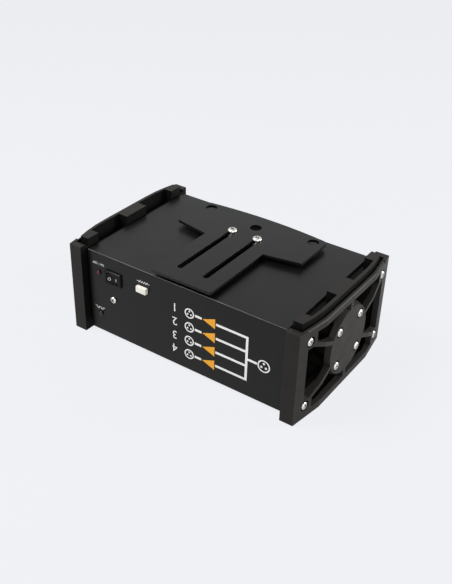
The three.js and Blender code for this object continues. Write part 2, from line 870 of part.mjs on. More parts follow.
function makeAngle() {
  const inner = frontWall + sheet + seatGap;
  const leg = box(angleLength, angleThick, angleLeg, panelScrewX, inner + angleThick / 2, panelScrewZ);
  const shelfZ = panelScrewZ - angleLeg / 2 + angleThick / 2;
  const shelf = box(angleLength, angleShelf, angleThick, panelScrewX, inner + angleShelf / 2, shelfZ);
  const through = angleThick + 2 * overrun;
  const bore = rodY(panelScrewRadius + seatGap, panelScrewX, inner - overrun, panelScrewZ, through);
  return geometryOf(solid(leg).add(solid(shelf)).subtract(solid(bore)));
}

function makeNut() {
  const corner = nutAcross / Math.sqrt(3);
  const body = rodY(corner, 0, 0, 0, nutHeight, 6);
  const bore = rodY(panelScrewRadius + seatGap, 0, -overrun, 0, nutHeight + 2 * overrun);
  return geometryOf(solid(body).subtract(solid(bore)));
}

add('regulator_angle', makeAngle(), plainAluminium);
const nutY = frontWall + sheet + angleThick + 2 * seatGap;
add('panel_nut', makeNut(), zincSteel).position.set(panelScrewX, nutY, panelScrewZ);
const panelShank = sheet + angleThick + nutHeight + panelScrewPast;
const panelScrew = panScrew(panelHeadRadius, panelHeadHeight, panelScrewRadius, panelShank);
panelScrew.rotateX(Math.PI / 2);
add('panel_screw', panelScrew, brightSteel).position.set(panelScrewX, frontWall - seatGap, panelScrewZ);

// Sockets on the back wall

const flangeBack = backWall + seatGap;
const flangeFace = flangeBack + flangeThick;
const barrelEnd = flangeFace - flangeThick - barrelDepth;
const latchZ = -(socketTall / 2 - latchMargin - latchTall / 2);

function makeSocketShell(boreRadius, hasLatch) {
  const plate = roundedRectangle(socketWidth, socketTall, flangeCorner);
  const barrel = rodY(barrelRadius, 0, barrelEnd, 0, barrelDepth + flangeThick / 2, 22);
  let shell = solid(alongY(plate, flangeFace, flangeThick)).add(solid(barrel));
  const through = flangeThick + barrelDepth + 2 * overrun;
  shell = shell.subtract(solid(rodY(boreRadius, 0, barrelEnd - overrun, 0, through, 22)));
  if (hasLatch) {
    const notchTall = latchTall + 2 * fitGap;
    const notch = box(latchWidth + 2 * fitGap, 2 * flangeThick, notchTall, 0, flangeFace, latchZ);
    shell = shell.subtract(solid(notch));
  }
  return geometryOf(shell);
}

const contactPlaces = contactAngles.map((degrees) => {
  const angle = THREE.MathUtils.degToRad(degrees);
  return [contactCircle * Math.cos(angle), contactCircle * Math.sin(angle)];
});

// Input insert: a base disc at the end of the bore with three pins.
function makeInputInsert() {
  let insert = solid(rodY(inputBoreRadius - fitGap, 0, barrelEnd, 0, insertBase, 16));
  for (const [x, z] of contactPlaces) {
    const pin = rodY(contactRadius, x, barrelEnd + insertBase / 2, z, contactLength + insertBase / 2, 10);
    insert = insert.add(solid(pin));
  }
  return geometryOf(insert);
}

// Output insert: a core with three contact bores, standing free of the bore on a wider base.
function makeOutputInsert() {
  const length = flangeFace - insertSink - barrelEnd;
  let insert = solid(rodY(outputBoreRadius - fitGap, 0, barrelEnd, 0, insertBase, 16));
  insert = insert.add(solid(rodY(insertRadius, 0, barrelEnd, 0, length, 16)));
  for (const [x, z] of contactPlaces) {
    const floor = barrelEnd + length - contactBoreDepth;
    const bore = rodY(contactBore, -x, floor, z, contactBoreDepth + overrun, 8);
    insert = insert.subtract(solid(bore));
  }
  return geometryOf(insert);
}

function makeLatch() {
  return alongY(roundedRectangle(latchWidth, latchTall, latchCorner), 0, latchThick);
}

socketPlaces.forEach((x, index) => {
  const name = socketNames[index];
  const isInput = index === 0;
  const shell = makeSocketShell(isInput ? inputBoreRadius : outputBoreRadius, !isInput);
  add(`socket_shell_${name}`, shell, nickel).position.set(x, 0, shellMiddle);
  const insert = isInput ? makeInputInsert() : makeOutputInsert();
  add(`socket_insert_${name}`, insert, glossBlack).position.set(x, 0, shellMiddle);
  if (!isInput) {
    const latchY = flangeFace - flangeThick + seatGap + latchTravel + latchThick;
    add(`latch_${name}`, makeLatch(), nickel).position.set(x, latchY, shellMiddle + latchZ);
  }
});

// Power inlet

function wellShape() {
  const half = wellWidth / 2;
  const top = wellTall / 2;
  return outline([
    [-half, -top],
    [half, -top],
    [half, top - wellCut],
    [half - wellCut, top],
    [wellCut - half, top],
    [-half, top - wellCut],
  ]);
}

function makeInlet() {
  const face = backWall + seatGap + inletFlange;
  const flange = solid(alongY(roundedRectangle(inletWidth, inletTall, flangeCorner), face, inletFlange));
  const bodyDepth = inletBodyDepth + inletFlange / 2;
  const bodyY = face - inletFlange / 2 - bodyDepth / 2;
  let inlet = flange.add(solid(box(inletBodyWidth, bodyDepth, inletBodyTall, 0, bodyY, 0)));
  const well = alongY(wellShape(), face + overrun, wellDepth + overrun).translate(0, 0, -wellDown);
  inlet = inlet.subtract(solid(well));
  for (const [x, z] of [[-pinPitch / 2, 0], [pinPitch / 2, 0], [0, pinRise]]) {
    const root = face - wellDepth - overrun;
    const length = pinLength + overrun;
    const height = z - wellDown - pinRise / 2;
    inlet = inlet.add(solid(box(pinWidth, length, pinTall, x, root + length / 2, height)));
  }
  const slotTall = drawerTall + 2 * fitGap;
  const drawerWell = box(drawerWidth + 2 * fitGap, 2 * drawerDepth, slotTall, 0, face, drawerUp);
  return geometryOf(inlet.subtract(solid(drawerWell)));
}

add('inlet_housing', makeInlet(), glossBlack).position.set(inletX, 0, shellMiddle);
const inletFace = backWall + seatGap + inletFlange;
const drawerLength = drawerDepth - seatGap + drawerFace;
const drawer = add('fuse_drawer', box(drawerWidth, drawerLength, drawerTall), glossBlack);
drawer.position.set(inletX, inletFace + drawerFace - drawerLength / 2, shellMiddle + drawerUp);

// Boards and transformer

const boardTop = shellTop - sheet - standoffHeight - seatGap;

add('main_board', box(mainBoardLength, mainBoardDepth, boardThick), boardGreen)
  .position.set(mainBoardX, mainBoardY, boardTop - boardThick / 2);

function makeTransformer() {
  const core = solid(box(coreLength, coreDepth, coreTall));
  return geometryOf(core.add(solid(box(coilLength, coilDepth, coilTall))));
}

add('transformer', makeTransformer(), coreGrey)
  .position.set(transformerX, mainBoardY, boardTop - boardThick - seatGap - coreTall / 2);

const boardSpan = socketRow + 2 * socketBoardMargin;
const boardMiddle = rightEnd - socketEndMargin - socketRow / 2;
add('socket_board', box(boardSpan, boardThick, socketBoardTall), boardGreen)
  .position.set(boardMiddle, barrelEnd - seatGap - boardThick / 2, shellMiddle);

export default group;
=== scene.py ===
# A lighting-signal splitter: black powder-coated box between two moulded end caps, standing on its caps.
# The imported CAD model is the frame; this script gives it finishes, fine pieces, light and a camera.
# Metres. X runs along the box, Y from the control wall to the socket wall, Z up.

import json
import math

import bmesh
import bpy
import numpy as np
from mathutils import Matrix, Vector

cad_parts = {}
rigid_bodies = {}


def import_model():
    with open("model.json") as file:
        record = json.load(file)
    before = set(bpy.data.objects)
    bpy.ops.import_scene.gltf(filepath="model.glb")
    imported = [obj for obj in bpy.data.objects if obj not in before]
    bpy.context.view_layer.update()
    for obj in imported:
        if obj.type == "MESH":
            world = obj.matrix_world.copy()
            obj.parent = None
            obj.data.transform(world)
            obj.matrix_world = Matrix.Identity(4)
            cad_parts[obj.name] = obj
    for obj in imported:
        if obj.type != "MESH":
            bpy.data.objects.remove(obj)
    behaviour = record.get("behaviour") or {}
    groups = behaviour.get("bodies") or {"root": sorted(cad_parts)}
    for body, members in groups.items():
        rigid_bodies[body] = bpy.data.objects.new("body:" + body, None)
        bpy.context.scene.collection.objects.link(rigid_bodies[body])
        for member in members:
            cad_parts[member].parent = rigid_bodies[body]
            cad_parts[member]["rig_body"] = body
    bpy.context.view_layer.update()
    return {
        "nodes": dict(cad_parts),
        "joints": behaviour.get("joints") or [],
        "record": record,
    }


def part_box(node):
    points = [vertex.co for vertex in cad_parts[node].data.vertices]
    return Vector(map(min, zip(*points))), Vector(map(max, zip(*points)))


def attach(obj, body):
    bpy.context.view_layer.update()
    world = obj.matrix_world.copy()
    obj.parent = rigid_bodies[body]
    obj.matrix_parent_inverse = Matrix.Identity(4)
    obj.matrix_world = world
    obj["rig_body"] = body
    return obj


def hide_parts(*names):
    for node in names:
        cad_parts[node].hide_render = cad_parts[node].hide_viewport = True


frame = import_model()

MM = 0.001

# Camera: where the photographer stood, and how the lens was turned
CAMERA_AT = (395.6 * MM, -594.2 * MM, 506.3 * MM)
CAMERA_YAW = 33.79
CAMERA_PITCH = 32.68
CAMERA_ROLL = -1.80
FRAME_TALL = 584
FOCAL_PIXELS = 847.6
SENSOR = 36.0

# Control wall and socket wall, and the sockets in it
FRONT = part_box("chassis_shell")[0].y
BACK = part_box("chassis_shell")[1].y
SOCKETS = ("in", "link", "out_1", "out_2", "out_3", "out_4")

# Half the thickness of printing ink
INK = 0.03 * MM

# Screws: radius and height of the head, radius of the shank
CAP_SCREW = (4.1 * MM, 2.6 * MM, 2.0 * MM)
CLAMP_SCREW = (4.75 * MM, 3.1 * MM, 2.5 * MM)
PANEL_SCREW = (3.5 * MM, 2.4 * MM, 1.75 * MM)
FLANGE_SCREW = (2.4 * MM, 1.3 * MM, 1.4 * MM)

# Where most values of a noise texture lie
NOISE_SPAN = (0.3, 0.7)

# Cosine between the rounded normal and the true one where an edge begins, and where it is at its palest
EDGE_LEAN = (0.98, 0.80)


def linear(hex_colour):
    """sRGB hex to linear RGBA: each channel by the sRGB curve."""
    channels = [int(hex_colour[i:i + 2], 16) / 255 for i in (1, 3, 5)]
    low = [c / 12.92 if c <= 0.04045 else ((c + 0.055) / 1.055) ** 2.4 for c in channels]
    return (*low, 1.0)


def node(tree, kind, inputs=None, **settings):
    """Adds a node, sets its properties, and gives each input a value or a link."""
    made = tree.nodes.new(kind)
    for name, value in settings.items():
        setattr(made, name, value)
    for name, value in (inputs or {}).items():
        if isinstance(value, bpy.types.NodeSocket):
            tree.links.new(value, made.inputs[name])
        else:
            made.inputs[name].default_value = value
    return made


def material(name, **settings):
    """A node material, its tree, its shader with constants on the shader's own sockets, and Object
    coordinates."""
    made = bpy.data.materials.new(name)
    made.use_nodes = True
    tree = made.node_tree
    tree.nodes.clear()
    constants = {key.replace("_", " "): value for key, value in settings.items()}
    shader = node(tree, "ShaderNodeBsdfPrincipled", constants)
    output = node(tree, "ShaderNodeOutputMaterial")
    tree.links.new(shader.outputs["BSDF"], output.inputs["Surface"])
    place = node(tree, "ShaderNodeTexCoord").outputs["Object"]
    return made, tree, shader, place


def noise(tree, place, feature, low=0.0, high=1.0, detail=2.0):
    """Noise whose blotches are about feature metres across, widened to run from low to high."""
    raw = node(tree, "ShaderNodeTexNoise", {"Vector": place, "Scale": 1 / feature, "Detail": detail})
    return node(tree, "ShaderNodeMapRange", {
        "Value": raw.outputs["Fac"], "From Min": NOISE_SPAN[0], "From Max": NOISE_SPAN[1],
        "To Min": low, "To Max": high,
    }).outputs["Result"]


def blend(tree, factor, low, high):
    """Mixes two colours by a factor."""
    made = node(tree, "ShaderNodeMix", {0: factor, 6: low, 7: high}, data_type="RGBA")
    return made.outputs[2]


def round_edges(tree, radius):
    """The surface normal, rounded over edges by radius."""
    return node(tree, "ShaderNodeBevel", {"Radius": radius}, samples=4).outputs["Normal"]


def edge_mask(tree, radius, strength):
    """Strength near an edge, 0 on a flat: how far the rounded normal leans from the true one."""
    true = node(tree, "ShaderNodeNewGeometry").outputs["Normal"]
    rounded = round_edges(tree, radius)
    lean = node(tree, "ShaderNodeVectorMath", {0: rounded, 1: true}, operation="DOT_PRODUCT")
    return node(tree, "ShaderNodeMapRange", {
        "Value": lean.outputs["Value"], "From Min": EDGE_LEAN[0], "From Max": EDGE_LEAN[1],
        "To Min": 0.0, "To Max": strength,
    }).outputs["Result"]


def bump(tree, height, depth, normal):
    """A normal disturbed by a height map, depth metres from low to high."""
    return node(tree, "ShaderNodeBump", {
        "Height": height, "Distance": depth, "Strength": 1.0, "Normal": normal,
    }).outputs["Normal"]


def link(tree, shader, **values):
    """Links values to the shader's sockets."""
    for name, value in values.items():
        tree.links.new(value, shader.inputs[name.replace("_", " ")])


def powder_coat():
    """Baked black powder coat on sheet steel: fine orange peel under a satin sheen, paler on edges."""
    made, tree, shader, place = material("black powder coat", Specular_IOR_Level=0.22)
    base = blend(tree, noise(tree, place, 55 * MM), linear("#0a0a09"), linear("#0e0e0d"))
    colour = blend(tree, edge_mask(tree, 0.5 * MM, 0.25), base, linear("#2c2c2d"))
    rough = noise(tree, place, 20 * MM, 0.30, 0.36)
    # The real peel is about 0.4 mm across; it is drawn at 0.9 mm, so that it shows.
    peel = noise(tree, place, 0.9 * MM, detail=3.0)
    normal = bump(tree, peel, 0.008 * MM, round_edges(tree, 0.4 * MM))
    link(tree, shader, Base_Color=colour, Roughness=rough, Normal=normal)
    return made


def moulded_black():
    """Spark-grained black moulding: half dull, slightly warm, with paler rubbed edges."""
    made, tree, shader, place = material("grained black moulding", Specular_IOR_Level=0.18)
    base = blend(tree, noise(tree, place, 30 * MM), linear("#1a1814"), linear("#1f1c18"))
    colour = blend(tree, edge_mask(tree, 0.6 * MM, 0.35), base, linear("#38352f"))
    rough = noise(tree, place, 12 * MM, 0.44, 0.52)
    # The real grain is about 0.2 mm across; it is drawn at 0.7 mm, so that it shows.
    grain = noise(tree, place, 0.7 * MM)
    normal = bump(tree, grain, 0.010 * MM, round_edges(tree, 0.25 * MM))
    link(tree, shader, Base_Color=colour, Roughness=rough, Normal=normal)
    return made


def moulded_recess():
    """The same moulding with coarser grain, painted darker and without sheen as shade, for pockets and inner walls.
    """
    made, tree, shader, place = material("black moulding painted as shade", Specular_IOR_Level=0.10)
    # painted shade: a base far darker than the moulding's own
    colour = blend(tree, noise(tree, place, 30 * MM), linear("#070706"), linear("#0a0908"))
    rough = noise(tree, place, 12 * MM, 0.60, 0.70)
    # The real grain is about 0.3 mm across; it is drawn at 0.9 mm, so that it shows.
    grain = noise(tree, place, 0.9 * MM)
    normal = bump(tree, grain, 0.020 * MM, round_edges(tree, 0.25 * MM))
    link(tree, shader, Base_Color=colour, Roughness=rough, Normal=normal)
    return made


def bright_nickel():
    """Nickel-plated steel: bright, faintly warm, with tumbling marks, and painted shade in the recess of a head."""
    made, tree, shader, place = material("bright nickel plate", Metallic=1.0)
    # painted shade: a value on the rows of the recess darkens the plate there
    painted_recess_shade = node(tree, "ShaderNodeAttribute", attribute_name="painted_recess_shade").outputs["Fac"]
    plate = blend(tree, noise(tree, place, 1.5 * MM), linear("#cfccc4"), linear("#e8e6de"))
    rough = noise(tree, place, 0.8 * MM, 0.18, 0.30)
    link(tree, shader, Base_Color=blend(tree, painted_recess_shade, plate, linear("#2c2b29")), Roughness=rough)
    return made


def satin_nickel():
    """Die-cast zinc under satin nickel: soft grey reflections, rounded cast edges."""
    made, tree, shader, place = material("satin nickel casting", Metallic=1.0)
    colour = blend(tree, noise(tree, place, 6 * MM), linear("#a6a49d"), linear("#b6b4ad"))
    rough = noise(tree, place, 2 * MM, 0.30, 0.42)
    link(tree, shader, Base_Color=colour, Roughness=rough, Normal=round_edges(tree, 0.5 * MM))
    return made


def dull_zinc():
    """Zinc-plated steel: grey with a faint cloudy bloom."""
    made, tree, shader, place = material("dull zinc plate", Metallic=1.0)
    colour = blend(tree, noise(tree, place, 14 * MM, detail=4.0), linear("#8f918f"), linear("#a9aba8"))
    link(tree, shader, Base_Color=colour, Roughness=noise(tree, place, 5 * MM, 0.42, 0.58))
    return made


def gold_flash():
    """Gold flash on brass contacts: warm, polished by plugs, with faint wipe marks along the contact."""
    made, tree, shader, place = material("gold-flashed brass", Metallic=1.0)
    along = node(tree, "ShaderNodeMapping", {"Vector": place, "Scale": (1.0, 0.12, 1.0)}).outputs["Vector"]
    colour = blend(tree, noise(tree, along, 0.3 * MM), linear("#c79a45"), linear("#e2bd6c"))
    link(tree, shader, Base_Color=colour, Roughness=noise(tree, along, 0.3 * MM, 0.18, 0.34))
    return made


def smooth_black():
    """Smooth black nylon of switches and inserts: even, half gloss, with rounded edges."""
    made, tree, shader, place = material("smooth black nylon", Specular_IOR_Level=0.14)
    colour = blend(tree, noise(tree, place, 8 * MM), linear("#0b0b0c"), linear("#101011"))
    rough = noise(tree, place, 4 * MM, 0.20, 0.28)
    link(tree, shader, Base_Color=colour, Roughness=rough, Normal=round_edges(tree, 0.3 * MM))
    return made


def cream_key():
    """Cream ABS key cap: warm white, painted darker round its edges as shade."""
    made, tree, shader, place = material("cream key plastic")
    base = blend(tree, noise(tree, place, 5 * MM), linear("#ece9da"), linear("#f3f0e3"))
    # painted shade: the edges take the tone of the key's side in less light
    colour = blend(tree, edge_mask(tree, 0.5 * MM, 0.8), base, linear("#cfcab4"))
    rough = noise(tree, place, 3 * MM, 0.34, 0.46)
    link(tree, shader, Base_Color=colour, Roughness=rough, Normal=round_edges(tree, 0.4 * MM))
    return made


def tinted_lens(name, rim, painted_lit_middle):
    """Cast epoxy lens, unlit: a glossy skin over a tinted body, dark at the rim and painted brighter over the
    middle, as light within it.
    """
    gloss = {"Coat_Weight": 0.3, "Coat_Roughness": 0.06, "Specular_IOR_Level": 0.25}
    made, tree, shader, place = material(name, **gloss)
    # painted light: the colour brightens from the rim towards the middle of the dome
    depth = node(tree, "ShaderNodeAttribute", attribute_name="painted_lit_middle").outputs["Fac"]
    cloud = noise(tree, place, 2 * MM, 0.75, 1.0)
    clear = node(tree, "ShaderNodeMath", {0: depth, 1: cloud}, operation="MULTIPLY").outputs[0]
    colour = blend(tree, clear, linear(rim), linear(painted_lit_middle))
    link(tree, shader, Base_Color=colour, Roughness=noise(tree, place, 1.5 * MM, 0.10, 0.16))
    return made


def printing_ink(name, thin, full):
    """Screen-printed ink: flat, slightly uneven in cover."""
    made, tree, shader, place = material(name, Roughness=0.6)
    link(tree, shader, Base_Color=blend(tree, noise(tree, place, 0.6 * MM), linear(thin), linear(full)))
    return made


def solder_mask():
    """Green solder mask over copper: faint lighter tracks."""
    made, tree, shader, place = material("green solder mask", Roughness=0.35)
    tracks = node(tree, "ShaderNodeTexBrick", {
        "Vector": place, "Scale": 1 / (8 * MM), "Mortar Size": 0.03,
        "Color1": linear("#1c5230"), "Color2": linear("#1f5a35"), "Mortar": linear("#2f7a48"),
    })
    link(tree, shader, Base_Color=tracks.outputs["Color"])
    return made


def laminations():
    """Varnished steel laminations: thin dark lines along the stack."""
    made, tree, shader, place = material("varnished laminations", Roughness=0.5, Metallic=0.6)
    waves = node(tree, "ShaderNodeTexWave", {"Vector": place, "Scale": 1 / (12 * MM)}, bands_direction="Y")
    link(tree, shader, Base_Color=blend(tree, waves.outputs["Fac"], linear("#3c3d3f"), linear("#5a5c5f")))
    return made


def mill_aluminium():
    """Mill-finish aluminium: drawn grain along X."""
    made, tree, shader, place = material("mill aluminium", Metallic=1.0)
    drawn = node(tree, "ShaderNodeMapping", {"Vector": place, "Scale": (0.1, 1.0, 1.0)}).outputs["Vector"]
    colour = blend(tree, noise(tree, drawn, 0.5 * MM), linear("#a9abad"), linear("#c0c2c4"))
    link(tree, shader, Base_Color=colour, Roughness=noise(tree, drawn, 1 * MM, 0.35, 0.5))
    return made


FINISHES = {
    "powder_black": powder_coat(),
    "moulded_black": moulded_black(),
    "bright_steel": bright_nickel(),
    "nickel": satin_nickel(),
    "zinc_steel": dull_zinc(),
    "gloss_black": smooth_black(),
    "cream_plastic": cream_key(),
    # each lens runs from its dark rim colour to a painted lit middle
    "red_lens": tinted_lens("red epoxy lens", "#120404", "#5c100c"),
    "smoked_lens": tinted_lens("smoked epoxy lens", "#0c0b0b", "#1c1917"),
    "board_green": solder_mask(),
    "core_steel": laminations(),
    "plain_aluminium": mill_aluminium(),
}
SLOTS = {part["node"]: part["material_slot"] for part in frame["record"]["subparts"]}
WHITE_INK = printing_ink("white screen print", "#e4e4e0", "#f6f6f3")
ORANGE_INK = printing_ink("orange screen print", "#e39a10", "#f7b020")
GOLD = gold_flash()
# a darker, dull copy of the moulding, painted as shade for the caps' recesses and the tray
PAINTED_SHADE = moulded_recess()

# The tray is seen only through the openings of the caps; it gets the same painted shade as their inner walls.
for name, slot in SLOTS.items():
    shown = frame["nodes"][name]
    shown.data.materials.clear()
    shown.data.materials.append(PAINTED_SHADE if name == "base_tray" else FINISHES[slot])


def placed(name, mesh, finish, body, sharp):
    """An object at the origin over a finished mesh, shaded smooth up to a sharp angle, riding on a body."""
    mesh.polygons.foreach_set("use_smooth", np.ones(len(mesh.polygons), bool))
    mesh.set_sharp_from_angle(angle=math.radians(sharp))
    mesh.materials.clear()
    mesh.materials.append(finish)
    made = bpy.data.objects.new(name, mesh)
    bpy.context.scene.collection.objects.link(made)
    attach(made, body)
    return made


# Two points closer than this are one, and an edge shorter than this is none
ONE_POINT = 2e-6
NO_EDGE = 1e-7


def weld(mesh, flat=0.0):
    """Joins doubled points, drops slivers, joins faces that lie within flat degrees, and turns faces outwards."""
    form = bmesh.new()
    form.from_mesh(mesh)
    bmesh.ops.remove_doubles(form, verts=form.verts, dist=ONE_POINT)
    bmesh.ops.dissolve_degenerate(form, edges=form.edges, dist=NO_EDGE)
    if flat:
        bmesh.ops.dissolve_limit(form, angle_limit=math.radians(flat), verts=form.verts, edges=form.edges)
    bmesh.ops.recalc_face_normals(form, faces=form.faces)
    form.to_mesh(mesh)
    form.free()


def closed_strip(name, grid, caps):
    """A mesh over rows of points: each four neighbours make a face, the last column joins the first,
    and the rows named in caps are closed with one flat face."""
    rows, columns, _ = grid.shape
    row, column = np.meshgrid(np.arange(rows - 1) * columns, np.arange(columns), indexing="ij")
    beside = (column + 1) % columns
    quads = np.stack([row + column, row + beside, row + columns + beside, row + columns + column], -1)
    faces = quads.reshape(-1, 4).tolist()
    faces += [list(range(end % rows * columns, (end % rows + 1) * columns)) for end in caps]
    mesh = bpy.data.meshes.new(name)
    mesh.from_pydata(grid.reshape(-1, 3).tolist(), [], faces)
    return mesh


def skin(name, grid, finish, body, caps=(0, -1), sharp=35, tints=None):
    """A closed piece over rows of points. A tint is a value for each row."""
    mesh = closed_strip(name, grid, caps)
    for key, values in (tints or {}).items():
        layer = mesh.attributes.new(key, "FLOAT", "POINT")
        layer.data.foreach_set("value", np.repeat(np.asarray(values, float), grid.shape[1]))
    weld(mesh)
    return placed(name, mesh, finish, body, sharp)


def facing(grid, at, axis, turn=0.0):
    """Points drawn about +Z, turned about it, then tipped so that +Z lies along axis, with zero at a place."""
    tip = Vector((0, 0, 1)).rotation_difference(Vector(axis)).to_matrix() @ Matrix.Rotation(turn, 3, "Z")
    return grid @ np.array(tip).T + np.array(at)


def turned(profile, columns):
    """Rows of (radius, height) carried round +Z: x = radius cos a, y = radius sin a, z = height."""
    profile = np.asarray(profile, float)
    angle = np.linspace(0, 2 * math.pi, columns, endpoint=False)
    radius, height = profile[:, :1], profile[:, 1:]
    return np.stack([radius * np.cos(angle), radius * np.sin(angle), height + 0 * angle], -1)


# Heights on a cap, in millimetres: top of its rail, its flat top, floor and brim of the moat, middle of its disc
RAIL_TOP = 102.5
CAP_TOP = 97.4
MOAT_FLOOR = 94.0
MOAT_BRIM = 98.2
DISC_HEIGHT = 49.0

# Moat round each rail: half of the rail's outer plan, and half of the moat's far side, row by row, in millimetres
RAIL_SIDE = ((111.0, -73.22), (125.33, -73.22), (127.72, -61.49), (129.42, -48.31), (129.98, -32.21))
MOAT_SIDE = ((111.0, -77.80), (127.60, -77.80), (129.90, -61.49), (131.60, -48.31), (132.15, -32.21))

# Cap: radius of the shoulder and where it begins, thickness of the lattice, how far its openings narrow over it,
# radius of the disc
SHOULDER = 3.2
SHOULDER_X = 120.0
LATTICE = 5.2
DRAFT = 2.4
DISC_RADIUS = 34.2

# Painted shade on a cap: the box of its recesses (x from and to, y up to, z from), the upward part of a normal
# below which a face is an underside, where the end face begins, and how far out the walls that face the shell lie
RECESS_X = (115.9, 132.3)
RECESS_Y = 77.9
RECESS_Z = 83.9
UNDERSIDE = -0.5
END_FACE_X = 130.2
INNER_WALL_X = 116.1

# Two lengths closer than this are the same, and two heights closer than this are level, in millimetres
SAME = 0.02
LEVEL = 0.05

# A normal's part along an axis: above ALONG the face looks along that axis, below ACROSS it looks square to it
ALONG = 0.9
ACROSS = 0.1


def cut(mesh, tool):
    """What is left of a mesh when a closed tool is taken away from it."""
    pair = [bpy.data.objects.new(part.name, part) for part in (mesh, tool)]
    for part in pair:
        bpy.context.scene.collection.objects.link(part)
    less = pair[0].modifiers.new("cut", "BOOLEAN")
    less.object = pair[1]
    less.solver = "EXACT"
    bpy.context.view_layer.update()
    left = bpy.data.meshes.new_from_object(pair[0].evaluated_get(bpy.context.evaluated_depsgraph_get()))
    for part in pair:
        bpy.data.objects.remove(part)
    return left


def dig_moat(mesh, sign):
    """Sinks the strip between a cap's rail and its shoulder: a square section carried along the rail's outer plan
    and round both of its ends."""
    near, far = (
        np.vstack([half, np.array(half)[::-1] * (1, -1)]) * (sign * MM, MM) for half in (RAIL_SIDE, MOAT_SIDE)
    )
    corners = ((near, MOAT_FLOOR), (far, MOAT_FLOOR), (far, MOAT_BRIM), (near, MOAT_BRIM))
    grid = np.stack([np.column_stack([side, np.full(len(side), level * MM)]) for side, level in corners], axis=1)
    tool = closed_strip("moat", grid, (0, -1))
    weld(tool)
    return cut(mesh, tool)


# 1 + n1 . n2 of the sharpest corner whose walls keep their full slope
SHARPEST = 0.6


def draft_openings(mesh):
    """Slopes the walls of the lattice's openings: the inner end of each wall edge moves into the opening by
    DRAFT (n1 + n2) / (1 + n1 . n2), where n1 and n2 are the normals of its two walls, so that each wall leans by
    the same amount."""
    form = bmesh.new()
    form.from_mesh(mesh)
    moves = {}
    for edge in form.edges:
        ends = sorted(edge.verts, key=lambda v: abs(v.co.x))
        span = (ends[1].co - ends[0].co) / MM
        walls = [face.normal for face in edge.link_faces]
        through = abs(abs(span.x) - LATTICE) < SAME and span.yz.length < SAME
        if through and len(walls) == 2 and max(abs(normal.x) for normal in walls) < ACROSS / 2:
            lean = (walls[0] + walls[1]) / max(1 + walls[0].dot(walls[1]), SHARPEST)
            moves[ends[0]] = lean * DRAFT * MM
    for point, move in moves.items():
        point.co += move
    form.normal_update()
    form.to_mesh(mesh)
    form.free()


def rows_of(items, name):
    """A vector of each item, as rows of three."""
    flat = np.empty(len(items) * 3)
    items.foreach_get(name, flat)
    return flat.reshape(-1, 3)


# Upward part of a flat top's normal, and outward part of the normal on the flank of the disc
FLAT_TOP = 0.99
DISC_FLANK = 0.85


def shade_cap(mesh):
    """Flat normals on a cap, except two rounds: the shoulder, n = (h cos a, sin a) with sin a = (z - z0) / R and h
    the level direction of its face, and the flank of the disc, n = (nx, r sqrt(1 - nx^2)) with r straight out from
    its axis."""
    corner, sizes = np.empty(len(mesh.loops), int), np.empty(len(mesh.polygons), int)
    mesh.loops.foreach_get("vertex_index", corner)
    mesh.polygons.foreach_get("loop_total", sizes)
    at = rows_of(mesh.vertices, "co")[corner] / MM
    normal = np.repeat(rows_of(mesh.polygons, "normal"), sizes, axis=0)
    level = normal[:, :2] / np.maximum(np.linalg.norm(normal[:, :2], axis=1, keepdims=True), 1e-9)
    rise = np.clip((at[:, 2] - CAP_TOP + SHOULDER) / SHOULDER, 0, 1)[:, None]
    sloping = (normal[:, 2] > ACROSS) & (normal[:, 2] < FLAT_TOP)
    shoulder = sloping & (rise[:, 0] > 0) & (np.abs(at[:, 0]) > SHOULDER_X)
    rounded = np.hstack([level * np.sqrt(1 - rise ** 2), rise])
    normal[shoulder] = rounded[shoulder]
    out = at[:, 1:] - (0, DISC_HEIGHT)
    reach = np.linalg.norm(out, axis=1, keepdims=True)
    out = out / np.maximum(reach, 1e-9)
    facing_out = np.sum(out * normal[:, 1:], axis=1) > DISC_FLANK
    flank = facing_out & (np.abs(reach[:, 0] - DISC_RADIUS - DRAFT / 2) < DRAFT)
    turned_out = np.hstack([normal[:, :1], out * np.sqrt(np.clip(1 - normal[:, :1] ** 2, 0, 1))])
    normal[flank] = turned_out[flank]
    mesh.normals_split_custom_set(normal.tolist())


def grain_recesses(made):
    """Paints shade: gives the darker, dull copy of the moulding to the faces of a cap that lie round its rail,
    below the rail's top, and to the walls that face the shell."""
    faces = made.data.polygons
    middle, lean = rows_of(faces, "center"), rows_of(faces, "normal")
    x, y, z = np.abs(middle.T) / MM
    outwards, upwards = lean[:, 0] * np.sign(middle[:, 0]), lean[:, 2]
    deep = (z > RECESS_Z) & (z < RAIL_TOP - 2 * LEVEL) & (np.abs(z - CAP_TOP) > LEVEL)
    near = (x > RECESS_X[0]) & (x < RECESS_X[1]) & (y < RECESS_Y)
    chosen = deep & near & (upwards > UNDERSIDE)
    # the shoulder's round flank and the end face reach into the same box, but face up or outwards
    flank = (z > CAP_TOP - SHOULDER) & (np.abs(outwards) > ACROSS) & (upwards > ACROSS)
    end = (outwards > ALONG) & (x > END_FACE_X)
    inner = (outwards < -ALONG) & (x < INNER_WALL_X)
    # the second finish is painted shade
    made.data.materials.append(PAINTED_SHADE)
    faces.foreach_set("material_index", ((chosen & ~flank & ~end) | inner).astype(np.int32))


